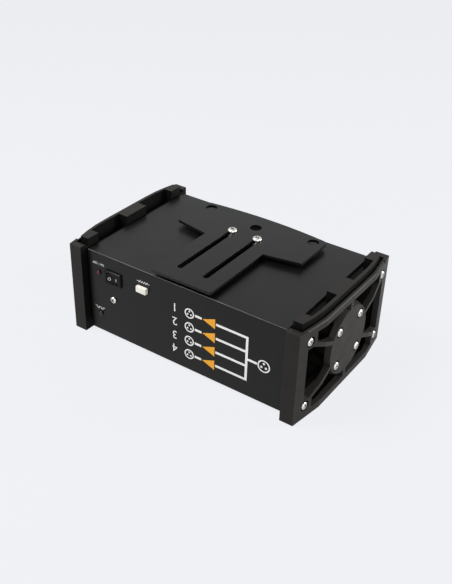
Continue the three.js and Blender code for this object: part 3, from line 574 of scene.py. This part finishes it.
def softened(name, radius, flat=0.4, sharp=28):
    """A copy of a node's solid with its edges rolled over by radius; the copy stands for the node. A cap also gets
    its moat, its slopes, and its moulding in two finishes, one of them a darker copy painted as shade."""
    source = frame["nodes"][name]
    is_cap = name.startswith("end_cap")
    mesh = source.data.copy()
    weld(mesh, flat)
    if is_cap:
        mesh = dig_moat(mesh, 1 if name.endswith("right") else -1)
        weld(mesh, flat)
        draft_openings(mesh)
    made = placed(f"{name}_soft", mesh, FINISHES[SLOTS[name]], source["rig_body"], sharp)
    if is_cap:
        # painted shade on the recesses and inner walls
        grain_recesses(made)
        shade_cap(mesh)
    elif radius:
        roll = made.modifiers.new("rolled edges", "BEVEL")
        roll.width = radius
        roll.segments = 2
        roll.limit_method = "ANGLE"
        roll.angle_limit = math.radians(sharp)
        roll.harden_normals = True
    else:
        even = made.modifiers.new("even normals", "WEIGHTED_NORMAL")
        even.keep_sharp = True
    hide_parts(name)


# How far each piece's edges are rolled over, 0 for those that keep them
ROLLED = {
    "chassis_shell": 0.0, "end_cap_left": 0.0, "end_cap_right": 0.0, "mount_bracket": 0.25 * MM,
    "switch_housing": 0.2 * MM, "switch_rocker": 0.2 * MM, "link_button": 0.0, "inlet_housing": 0.2 * MM,
    "fuse_drawer": 0.4 * MM, "bracket_spacer_left": 0.0, "bracket_spacer_right": 0.0,
}
for kind in SOCKETS:
    ROLLED[f"socket_shell_{kind}"] = 0.3 * MM
    ROLLED[f"socket_insert_{kind}"] = 0.0
    if kind != "in":
        ROLLED[f"latch_{kind}"] = 0.3 * MM
for name, radius in ROLLED.items():
    softened(name, radius)


def cross_edge(angle, reach, half_width):
    """Distance from the middle to the edge of a plus sign: the farther edge of its two crossed bars."""
    side, rise = np.abs(np.cos(angle)) + 1e-9, np.abs(np.sin(angle)) + 1e-9
    level, upright = np.minimum(reach / side, half_width / rise), np.minimum(half_width / side, reach / rise)
    return np.maximum(level, upright)


# Pan screw. The cross: reach and half width of its bars as shares of the head's radius. Its floor: shares of the
# way out to its edge and of the head's height, then how far its lip lies under the dome and where the dome begins.
# Painted shade, darkening the recess, on these first rings. Under the dome: skirt and stem, as shares of their
# radius and of their height or length.
CROSS_REACH = 0.60
CROSS_HALF_WIDTH = 0.15
CROSS_FLOOR = ((0, 0.08), (0.5, 0.14), (0.8, 0.30))
CROSS_LIP = 0.03
DOME_FROM = 1.05
PAINTED_RECESS_SHADE = (1, 1, 0.9, 0.35)
SKIRT = ((1, 0.06), (0.97, 0))
STEM = ((1, 0), (1, -0.94), (0.7, -1))

# How far round each screw stopped: one seeded draw for each, in the order in which they are made
rng = np.random.default_rng(7)


def pan_screw(name, at, axis, size, shank):
    """Pan-head screw on the chassis: rings round a plus-shaped recess that widen to the round head,
    h = H (0.3 + 0.7 sqrt(1 - (r / R)^3.2)), then the skirt and the shank. The next draw says how far round it
    stopped."""
    radius, height, shank_radius = size
    reach, half_width = CROSS_REACH * radius, CROSS_HALF_WIDTH * radius
    # a quarter of the cross: half of a bar's end, the sides of two bars, half of the next bar's end
    corner = math.atan2(half_width, reach)
    flank = np.linspace(corner, math.pi / 2 - corner, 9)
    quarter = np.concatenate([[0, corner / 2], flank, [math.pi / 2 - corner / 2]])
    angle = np.concatenate([quarter + step * math.pi / 2 for step in range(4)])
    edge = cross_edge(angle, reach, half_width)

    def dome(r):
        return height * (0.3 + 0.7 * np.sqrt(np.clip(1 - (r / radius) ** 3.2, 0, 1)))

    rows = [(share * edge, 0 * edge + level * height) for share, level in CROSS_FLOOR]
    rows += [(edge, dome(edge) - CROSS_LIP * height), (DOME_FROM * edge, dome(DOME_FROM * edge))]
    # the rings lie closer together towards the rim, where the dome falls fastest
    for share in np.linspace(0, 1, 9)[1:] ** 0.8:
        r = DOME_FROM * edge * (1 - share) + radius * share
        rows.append((r, dome(r)))
    rows += [(0 * edge + r * radius, 0 * edge + h * height) for r, h in SKIRT]
    rows += [(0 * edge + r * shank_radius, 0 * edge + h * shank) for r, h in STEM]
    grid = np.stack([np.stack([r * np.cos(angle), r * np.sin(angle), h], -1) for r, h in rows])
    # painted shade: the rows of the recess are darkened, the rest keep the plate's colour
    painted_recess_shade = PAINTED_RECESS_SHADE + (0,) * (len(rows) - len(PAINTED_RECESS_SHADE))
    grid = facing(grid, at, axis, rng.uniform(0, math.pi / 2))
    made = skin(name, grid, FINISHES["bright_steel"], "chassis", caps=(-1,), sharp=40, tints={"painted_recess_shade": painted_recess_shade})
    return made


def screw_for(node_name, axis, size):
    """A pan screw in the place of a screw node, its head at the node's outer end along an axis."""
    low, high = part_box(node_name)
    along = max(range(3), key=lambda i: abs(axis[i]))
    outwards = axis[along] > 0
    head, tip = (high[along], low[along]) if outwards else (low[along], high[along])
    seat = list((low + high) / 2)
    seat[along] = head - axis[along] * size[1]
    made = pan_screw(f"{node_name}_head", seat, axis, size, abs(seat[along] - tip))
    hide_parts(node_name)


for side, sign in (("left", -1), ("right", 1)):
    for kind in ("corner", "disc"):
        for index in range(1, 5):
            screw_for(f"{kind}_screw_{side}_{index}", (sign, 0, 0), CAP_SCREW)
    screw_for(f"bracket_screw_{side}", (0, 0, 1), CLAMP_SCREW)
screw_for("panel_screw", (0, -1, 0), PANEL_SCREW)


def lamp_lens(name):
    """Epoxy lens: a short straight neck under a half-ellipse dome, r = R cos t, h = H sin t, and a flange
    behind."""
    low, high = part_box(name)
    middle = (low + high) / 2
    radius, flange, straight, neck = 2.5 * MM, 2.95 * MM, 0.9 * MM, 1.5 * MM
    dome, back = FRONT - low.y - straight, high.y - FRONT
    sweep = np.linspace(math.pi / 2, 0, 10)
    profile = [(radius * math.cos(t), straight + dome * math.sin(t)) for t in sweep]
    profile += [(radius, -neck), (flange, -neck), (flange, -back)]
    # painted light: a share for each row, 1 at the tip of the dome and 0 at its rim
    painted_lit_middle = [math.sin(t) ** 2 for t in sweep] + [0, 0, 0]
    grid = facing(turned(profile, 40), (middle.x, FRONT, middle.z), (0, -1, 0))
    made = skin(f"{name}_lens", grid, FINISHES[SLOTS[name]], "chassis", caps=(-1,), tints={"painted_lit_middle": painted_lit_middle})
    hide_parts(name)


lamp_lens("power_lamp")
lamp_lens("signal_lamp")


def on_front(x, z):
    """A place on the control wall for points (right, up) as a reader sees them with the box hung by its plate."""
    return Matrix(((-1, 0, 0, x), (0, 0, -1, FRONT), (0, -1, 0, z), (0, 0, 0, 1)))


def on_back(x, z):
    """The same on the socket wall, as seen from behind."""
    return Matrix(((1, 0, 0, x), (0, 0, 1, BACK), (0, -1, 0, z), (0, 0, 0, 1)))


# Rocker face: its tilt at rest, the slope of its two halves and the depth of the valley between them
ROCKER_TILT = math.radians(12)
ROCKER_SLOPE = math.radians(8.0)
ROCKER_VALLEY = 2.2 * MM


def on_rocker(x):
    """A place on one of the rocker's two slopes, x along it from the valley, at the height of its pivot."""
    pivot = Vector(next(j["pos_m"] for j in frame["joints"] if j["name"] == "switch_tilt"))
    slope = Matrix.Rotation(math.copysign(ROCKER_SLOPE, -x), 4, "Z")
    valley = Matrix.Translation((0, -ROCKER_VALLEY, 0))
    up = Matrix(((1, 0, 0, x), (0, 0, -1, 0), (0, 1, 0, 0), (0, 0, 0, 1)))
    return Matrix.Translation(pivot) @ Matrix.Rotation(ROCKER_TILT, 4, "Z") @ valley @ slope @ up


def print_mesh(name, mesh, finish, place, body="chassis"):
    """A print whose points lie in its own plane, moved to its place on the object."""
    mesh.transform(place)
    weld(mesh)
    placed(name, mesh, finish, body, 30)


def print_shape(name, outlines, finish, place, body="chassis"):
    """Closed outlines of (right, up) points, each as thick as ink: a front loop, a back loop and a rim."""
    points, faces = [], []
    for outline in outlines:
        count, start = len(outline), len(points)
        level = np.ones((count, 1)) * INK
        points += np.hstack([outline, level]).tolist() + np.hstack([outline, -level]).tolist()
        index = np.arange(count)
        after = (index + 1) % count
        faces += [list(range(start, start + count)), list(range(start + 2 * count - 1, start + count - 1, -1))]
        faces += (np.stack([index, index + count, after + count, after], -1) + start).tolist()
    mesh = bpy.data.meshes.new(name)
    mesh.from_pydata(points, [], faces)
    print_mesh(name, mesh, finish, place, body)


def print_ring(name, middle, outer, inner, finish, place, body="chassis"):
    """A printed ring: a flat square section carried round a circle."""
    section = [(inner, INK), (outer, INK), (outer, -INK), (inner, -INK), (inner, INK)]
    grid = turned(section, 40) + np.array([*middle, 0])
    grid = np.array([[place @ Vector(point) for point in row] for row in grid])
    skin(name, grid, finish, body, caps=(), sharp=30)


def print_text(name, words, height, finish, place):
    """Plain lettering in Blender's own face, made a mesh and then sized to a height about its middle."""
    curve = bpy.data.curves.new(name, "FONT")
    curve.body = words
    curve.extrude = 1.0
    holder = bpy.data.objects.new(name, curve)
    bpy.context.scene.collection.objects.link(holder)
    bpy.context.view_layer.update()
    mesh = bpy.data.meshes.new_from_object(holder)
    bpy.data.objects.remove(holder)
    points = rows_of(mesh.vertices, "co")
    low, high = points.min(0), points.max(0)
    grow = height / (high - low)[1]
    points = (points - (low + high) / 2) * np.array([grow, grow, 2 * INK / (high - low)[2]])
    mesh.vertices.foreach_set("co", points.ravel())
    print_mesh(name, mesh, finish, place)


def stroke(path, width):
    """Outline of a bent line: each point is pushed both ways along the bisector of its sides, by w / 2 over the
    cosine of half the bend, which keeps the width w."""
    path = np.asarray(path, float)
    along = np.diff(path, axis=0)
    along /= np.linalg.norm(along, axis=1, keepdims=True)
    before, after = np.vstack([along[:1], along]), np.vstack([along, along[-1:]])
    bisector = (before + after) @ np.array([[0, 1], [-1, 0]])
    bisector /= np.linalg.norm(bisector, axis=1, keepdims=True)
    side = before @ np.array([[0, 1], [-1, 0]])
    push = bisector * (width / 2 / np.sum(bisector * side, axis=1, keepdims=True))
    return np.vstack([path + push, (path - push)[::-1]])


# Rocker marks: how far they stand from the valley, radii of the ring, and the bar
MARK_OUT = 3.7 * MM
MARK_RING = (1.7 * MM, 1.25 * MM)
MARK_BAR = ((-0.25, -1.7), (0.25, -1.7), (0.25, 1.7), (-0.25, 1.7))


def rocker_marks():
    """The ring for off and the bar for on, one on each slope of the rocker."""
    print_ring("rocker_mark_off", (0, 0), *MARK_RING, WHITE_INK, on_rocker(-MARK_OUT), "rocker")
    print_shape("rocker_mark_on", [np.array(MARK_BAR) * MM], WHITE_INK, on_rocker(MARK_OUT), "rocker")


# Signs over the controls, in millimetres: where each stands on the wall, and its form
WORDS_AT = (-100.2, 82.1)
WORDS_TALL = 2.4
RESISTOR_AT = (-44.3, 81.5)
RESISTOR_TEETH = tuple((i * 1.4 - 4.9, 1.1 if i % 2 else -1.1) for i in range(8))
RESISTOR = ((-7.6, 0), (-5.6, 0), *RESISTOR_TEETH, (5.6, 0), (7.6, 0))
PULSE_AT = (-101.2, 30.6)
PULSE = (
    (-6.2, -1), (-3.6, -1), (-3.6, 1), (-1.2, 1), (-1.2, -1), (1.2, -1), (1.2, 1), (3.6, 1), (3.6, -1), (6.2, -1),
)
THIN_LINE = 0.5 * MM


def control_marks():
    """ON and OFF beside the mains lamp, a resistor sign over the button and a pulse sign over the signal lamp."""
    words, resistor, pulse = (on_front(x * MM, z * MM) for x, z in (WORDS_AT, RESISTOR_AT, PULSE_AT))
    print_text("print_on_off", "ON / OFF", WORDS_TALL * MM, WHITE_INK, words)
    print_shape("print_termination", [stroke(np.array(RESISTOR) * MM, THIN_LINE)], WHITE_INK, resistor)
    print_shape("print_signal", [stroke(np.array(PULSE) * MM, THIN_LINE)], WHITE_INK, pulse)


# Block diagram, in millimetres from its corner, read with the box hung by its plate: one input, and to each row one
# buffer, one output ring and its number
DIAGRAM_AT = (100.1, 78.1)
DIAGRAM_ROWS = (9.5, 25, 40.5, 56)
DIAGRAM_IN = 7.5
DIAGRAM_BUS = 26
DIAGRAM_BUFFER = (60, 75)
DIAGRAM_OUT = 90
DIAGRAM_DIGIT = 107
DIGIT_TALL = 8.8
LINE = 2.5

# Where the lines end: from the middle of the input ring, from the middle of an output ring, and from a buffer
CLEAR_OF_IN = 7.2
CLEAR_OF_OUT = 6.4
CLEAR_OF_BUFFER = 1
BUFFER_HALF = 5.4

# Rings: radius of the input's and the outputs', their width, and their three dots: radius and circle as shares of
# the ring's radius, and angles
RING_IN = 6.6
RING_OUT = 5.4
RING_WIDE = 1.3
DOT_RADIUS = 0.18
DOT_CIRCLE = 0.42
DOT_ANGLES = (30, 150, 270)


def diagram_lines():
    """Outlines of the comb that runs from the input to the buffers, and of the tails to the output rings."""
    middle, half = sum(DIAGRAM_ROWS) / len(DIAGRAM_ROWS), LINE / 2
    start, left, right = DIAGRAM_IN + CLEAR_OF_IN, DIAGRAM_BUS - half, DIAGRAM_BUS + half
    comb = [(start, middle - half), (left, middle - half), (left, DIAGRAM_ROWS[0] - half)]
    for row, after in zip(DIAGRAM_ROWS, (*DIAGRAM_ROWS[1:], None)):
        comb += [(DIAGRAM_BUFFER[0], row - half), (DIAGRAM_BUFFER[0], row + half)]
        comb += [(right, row + half), (right, after - half)] if after else []
    comb += [(left, DIAGRAM_ROWS[-1] + half), (left, middle + half), (start, middle + half)]
    leave, meet = DIAGRAM_BUFFER[1] + CLEAR_OF_BUFFER, DIAGRAM_OUT - CLEAR_OF_OUT
    return comb, *(stroke([(leave, row), (meet, row)], LINE) for row in DIAGRAM_ROWS)


def diagram():
    """White lines and rings, orange buffers and the numbers of the outputs."""
    place = on_front(DIAGRAM_AT[0] * MM, DIAGRAM_AT[1] * MM)
    print_shape("print_lines", [np.array(shape) * MM for shape in diagram_lines()], WHITE_INK, place)
    blunt = DIAGRAM_BUFFER[0] + CLEAR_OF_BUFFER
    wedge = np.array([(blunt, -BUFFER_HALF), (DIAGRAM_BUFFER[1], 0), (blunt, BUFFER_HALF)])
    print_shape("print_buffers", [(wedge + (0, row)) * MM for row in DIAGRAM_ROWS], ORANGE_INK, place)
    rings = [("in", DIAGRAM_IN, sum(DIAGRAM_ROWS) / len(DIAGRAM_ROWS), RING_IN)]
    rings += [(f"out_{i}", DIAGRAM_OUT, row, RING_OUT) for i, row in enumerate(DIAGRAM_ROWS, 1)]
    dots = []
    for key, across, row, radius in rings:
        middle, radii = (across * MM, row * MM), (radius * MM, (radius - RING_WIDE) * MM)
        print_ring(f"print_ring_{key}", middle, *radii, WHITE_INK, place)
        for angle in np.radians(DOT_ANGLES):
            aside = radius * DOT_CIRCLE * np.array([np.cos(angle), np.sin(angle)])
            spot = turned([(radius * DOT_RADIUS, 0)], 16)[0, :, :2] + aside
            dots.append((spot + (across, row)) * MM)
    print_shape("print_contacts", dots, WHITE_INK, place)
    for index, row in enumerate(DIAGRAM_ROWS, 1):
        spot = place @ Vector((DIAGRAM_DIGIT * MM, row * MM, 0))
        print_text(f"print_number_{index}", str(index), DIGIT_TALL * MM, WHITE_INK, on_front(spot.x, spot.z))


def socket_numbers():
    """The number of each output on the socket wall, under its socket."""
    tall, drop = 5 * MM, 6 * MM
    for index in range(1, 5):
        low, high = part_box(f"socket_shell_out_{index}")
        place = on_back((low.x + high.x) / 2, low.z - drop)
        print_text(f"print_output_{index}", str(index), tall, WHITE_INK, place)


rocker_marks()
control_marks()
diagram()
socket_numbers()


# Contacts: the circle that they stand on, and their angles
CONTACT_CIRCLE = 4.088 * MM
CONTACT_ANGLES = (20, 160, 270)

# How far under an insert's face a pin stands and a sleeve begins
PIN_DEPTH = 11.0 * MM - 0.1 * MM
SLEEVE_DEPTH = 0.25 * MM

# Flange screws: across and up from the middle of the socket, and length of the shank
FLANGE_SCREW_AT = (9.7 * MM, 12.2 * MM)
FLANGE_SHANK = 3 * MM

# Blades of the inlet: their places round its middle, depth of the well, half width, half height and length
BLADES = ((-7 * MM, -9.5 * MM), (7 * MM, -9.5 * MM), (0 * MM, -5.5 * MM))
INLET_WELL = 16 * MM
BLADE = (1.06 * MM, 2.06 * MM, 14.06 * MM)

# Rows of a blade: shares of its half height, its half width and its length
BLADE_ROWS = ((0.55, 0.4, 1.0), (0.8, 0.62, 0.985), (1.0, 0.9, 0.9), (1.0, 1.0, 0.82), (1.0, 1.0, 0.0))


def contact_pin(name, at):
    """A gold pin over the moulded one: straight, then a half-ellipse tip, r = R cos t, h = H sin t."""
    radius, straight, tip = 1.27 * MM, 9.6 * MM, 1.4 * MM
    sweep = np.linspace(math.pi / 2, 0, 7)
    profile = [(radius * math.cos(t), straight + tip * math.sin(t)) for t in sweep] + [(radius, 0)]
    skin(name, facing(turned(profile, 24), at, (0, 1, 0)), GOLD, "chassis", caps=(-1,))


def contact_sleeve(name, at):
    """A gold sleeve in a contact bore: a closed wall section carried round, its mouth flared."""
    outer, inner, depth, flare, rim = 1.24 * MM, 0.85 * MM, 5.6 * MM, 0.3 * MM, 0.08 * MM
    profile = [(outer, 0), (outer, -depth), (inner, -depth), (inner, -flare), (outer - rim, 0), (outer, 0)]
    skin(name, facing(turned(profile, 24), at, (0, 1, 0)), GOLD, "chassis", caps=())


def blade(name, at, half_width, half_height, length):
    """An inlet blade: a squarish section |x/a|^6 + |y/b|^6 = 1 carried along, narrowing over its tip."""
    angle = np.linspace(0, 2 * math.pi, 32, endpoint=False)
    round_off = (np.abs(np.cos(angle)) ** 6 + np.abs(np.sin(angle)) ** 6) ** (-1 / 6)
    side, rise = half_width * round_off * np.cos(angle), half_height * round_off * np.sin(angle)
    rows = [(x * side, y * rise, 0 * angle + along * length) for y, x, along in BLADE_ROWS]
    grid = np.stack([np.stack(row, -1) for row in rows])
    turn = np.array(((-1, 0, 0), (0, 0, 1), (0, 1, 0)))
    skin(name, grid @ turn.T + np.array(at), FINISHES["nickel"], "chassis", sharp=50)


def socket_details():
    """Gold contacts, and two small screws at opposite corners of each socket's flange."""
    for kind in SOCKETS:
        low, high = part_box(f"socket_shell_{kind}")
        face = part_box(f"socket_insert_{kind}")[1].y
        middle = (low + high) / 2
        for index, angle in enumerate(np.radians(CONTACT_ANGLES), 1):
            x, z = CONTACT_CIRCLE * math.cos(angle), CONTACT_CIRCLE * math.sin(angle)
            if kind == "in":
                contact_pin(f"contact_pin_{index}", (middle.x + x, face - PIN_DEPTH, middle.z + z))
            else:
                contact_sleeve(f"contact_sleeve_{kind}_{index}", (middle.x - x, face - SLEEVE_DEPTH, middle.z + z))
        for corner, word in ((-1, "low"), (1, "high")):
            at = (middle.x - corner * FLANGE_SCREW_AT[0], high.y, middle.z + corner * FLANGE_SCREW_AT[1])
            pan_screw(f"flange_screw_{kind}_{word}", at, (0, 1, 0), FLANGE_SCREW, FLANGE_SHANK)


def inlet_blades():
    """The three blades of the power inlet, standing on the floor of its well."""
    low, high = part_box("inlet_housing")
    middle = (low + high) / 2
    for index, (x, z) in enumerate(BLADES, 1):
        blade(f"inlet_blade_{index}", (middle.x + x, high.y - INLET_WELL, middle.z + z), *BLADE)


socket_details()
inlet_blades()


# Stage: the pale ground behind the object, the floor's paper and its own glow, the share of this glow in what the
# camera and what a mirror sees of the floor, the light of the sky on the object, and half of the floor's side
GROUND = "#eeeff3"
PAPER = "#d2d3d6"
GLOW = "#f0f1f5"
GLOW_TO_EYE = 0.94
GLOW_IN_MIRROR = 0.57
SKY_ON_OBJECT = 0.26
FLOOR_HALF = 6.0

# Softboxes: place, side and watts, and the middle of the object, which they look at
SOFTBOXES = {
    "key softbox": ((-0.62, -0.48, 1.10), 0.6, 18),
    "fill softbox": ((1.10, -0.80, 0.60), 0.9, 5),
    "back softbox": ((1.05, 0.84, 0.56), 0.7, 17),
}
LIT_MIDDLE = (0, 0, 0.05)


def seen(tree, by_eye, in_mirror):
    """One value for camera rays, another for mirror and see-through rays, 0 for the soft light on the object."""
    path = node(tree, "ShaderNodeLightPath").outputs
    either = {0: path["Is Glossy Ray"], 1: path["Is Transmission Ray"]}
    pair = node(tree, "ShaderNodeMath", either, operation="MAXIMUM").outputs[0]
    mirror = node(tree, "ShaderNodeMath", {0: pair, 1: in_mirror}, operation="MULTIPLY").outputs[0]
    both = {0: path["Is Camera Ray"], 1: by_eye, 2: mirror}
    return node(tree, "ShaderNodeMath", both, operation="MULTIPLY_ADD").outputs[0]


def ground():
    """A pale floor that keeps the object's shadow."""
    mesh = bpy.data.meshes.new("floor")
    corners = [(x * FLOOR_HALF, y * FLOOR_HALF, 0) for x, y in ((-1, -1), (1, -1), (1, 1), (-1, 1))]
    mesh.from_pydata(corners, [], [(0, 1, 2, 3)])
    floor = bpy.data.objects.new("floor", mesh)
    bpy.context.scene.collection.objects.link(floor)
    made = bpy.data.materials.new("pale paper floor")
    made.use_nodes = True
    tree = made.node_tree
    tree.nodes.clear()
    paper = node(tree, "ShaderNodeBsdfDiffuse", {"Color": linear(PAPER)})
    glow = node(tree, "ShaderNodeEmission", {"Color": linear(GLOW), "Strength": 1.0})
    share = seen(tree, GLOW_TO_EYE, GLOW_IN_MIRROR)
    mix = node(tree, "ShaderNodeMixShader", {0: share, 1: paper.outputs[0], 2: glow.outputs[0]})
    node(tree, "ShaderNodeOutputMaterial", {"Surface": mix.outputs[0]})
    mesh.materials.append(made)


def sky():
    """A pale even sky, dimmer on the object than to the eye."""
    world = bpy.data.worlds.new("studio")
    bpy.context.scene.world = world
    world.use_nodes = True
    tree = world.node_tree
    tree.nodes.clear()
    shown = node(tree, "ShaderNodeBackground", {"Color": linear(GROUND), "Strength": 1.0})
    lit = node(tree, "ShaderNodeBackground", {"Color": linear(GROUND), "Strength": SKY_ON_OBJECT})
    mix = node(tree, "ShaderNodeMixShader", {0: seen(tree, 1.0, 1.0), 1: lit.outputs[0], 2: shown.outputs[0]})
    node(tree, "ShaderNodeOutputWorld", {"Surface": mix.outputs[0]})


def softbox(name, at, size, watts):
    """A square area lamp looking at the middle of the object."""
    lamp = bpy.data.lights.new(name, "AREA")
    lamp.size = size
    lamp.energy = watts
    made = bpy.data.objects.new(name, lamp)
    bpy.context.scene.collection.objects.link(made)
    made.location = at
    made.rotation_euler = (Vector(LIT_MIDDLE) - Vector(at)).to_track_quat("-Z", "Y").to_euler()


def camera():
    """A camera at the photographer's place, turned by yaw, pitch and roll."""
    yaw, pitch, roll = (math.radians(angle) for angle in (CAMERA_YAW, CAMERA_PITCH, CAMERA_ROLL))
    forward = Vector((-math.sin(yaw) * math.cos(pitch), math.cos(yaw) * math.cos(pitch), -math.sin(pitch)))
    right = forward.cross(Vector((0, 0, 1))).normalized()
    down = forward.cross(right)
    rolled_right = math.cos(roll) * right + math.sin(roll) * down
    rolled_down = -math.sin(roll) * right + math.cos(roll) * down
    data = bpy.data.cameras.new("camera")
    data.sensor_width = SENSOR
    data.lens = FOCAL_PIXELS / FRAME_TALL * SENSOR
    data.clip_end = 20
    made = bpy.data.objects.new("camera", data)
    bpy.context.scene.collection.objects.link(made)
    turn = Matrix((rolled_right, -rolled_down, -forward)).transposed().to_4x4()
    made.matrix_world = Matrix.Translation(Vector(CAMERA_AT)) @ turn
    bpy.context.scene.camera = made


ground()
sky()
for name, (at, size, watts) in SOFTBOXES.items():
    softbox(name, at, size, watts)
camera()
bpy.context.scene.view_settings.view_transform = "Standard"
